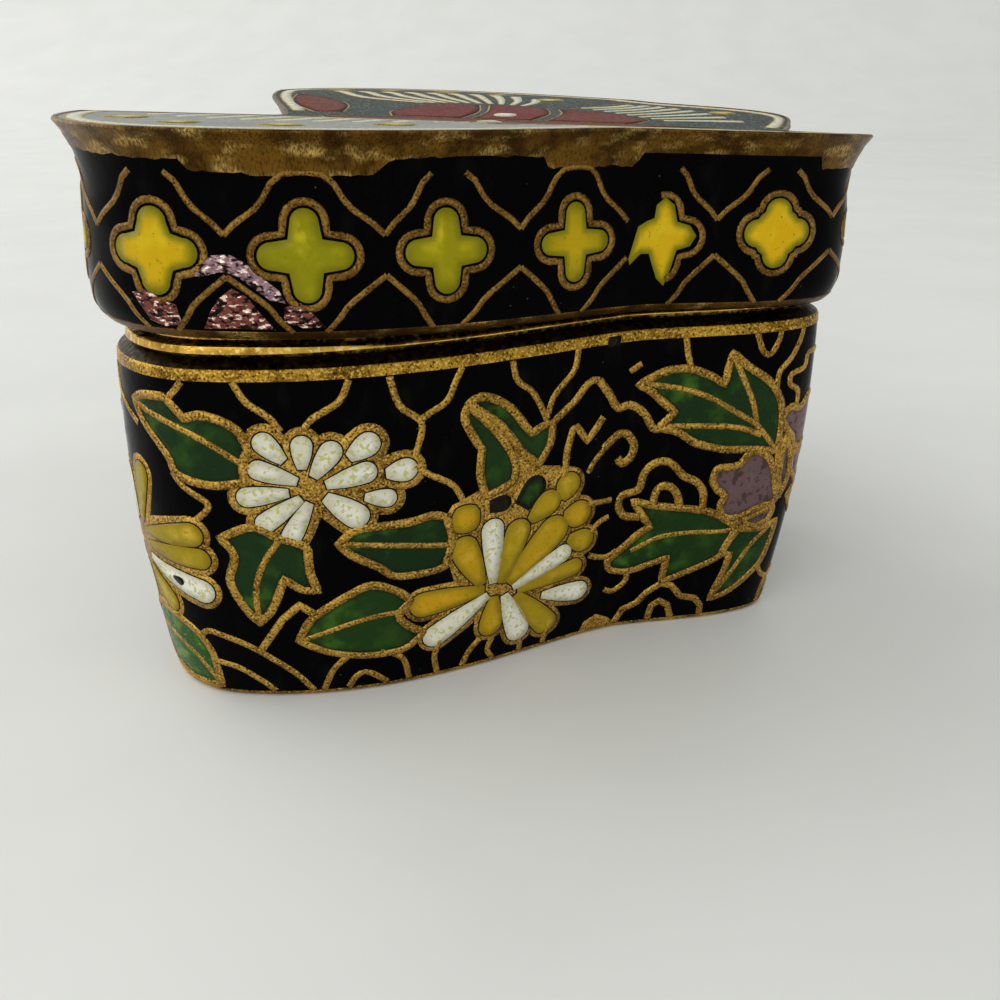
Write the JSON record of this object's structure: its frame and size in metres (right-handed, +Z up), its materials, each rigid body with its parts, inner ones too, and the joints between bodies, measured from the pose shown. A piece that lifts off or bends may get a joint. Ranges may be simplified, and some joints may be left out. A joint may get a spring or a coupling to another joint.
{
  "type": "butterfly-shaped cloisonne enamel box",
  "caption": "Small butterfly-shaped trinket box in black cloisonne enamel with flower sprays, and a flared lift-off lid on a brass collar.",
  "frame": {"origin": "middle of the plan's bounding box, on the flat underside of the base", "axes": "+Z up; the butterfly's head is at -X and its tail at +X; its wings spread to -Y and +Y"},
  "size_m": [0.0626, 0.0746, 0.0467],
  "materials": {
    "black_enamel": "polished black enamel on copper",
    "gilt_brass": "worn, pitted gilding on brass edges and wires",
    "white_enamel": "opaque white enamel, polished",
    "yellow_enamel": "opaque yellow and ochre enamel, polished",
    "green_enamel": "deep green enamel, polished",
    "mauve_enamel": "mauve and dark red enamel, polished",
    "blue_enamel": "blue enamel of the wings and of the inside, polished",
    "bare_copper": "crumpled copper foil bared by lost enamel"
  },
  "bodies": {
    "root": {"base": "black_enamel", "collar": "gilt_brass", "lid": "black_enamel"}
  },
  "joints": []
}
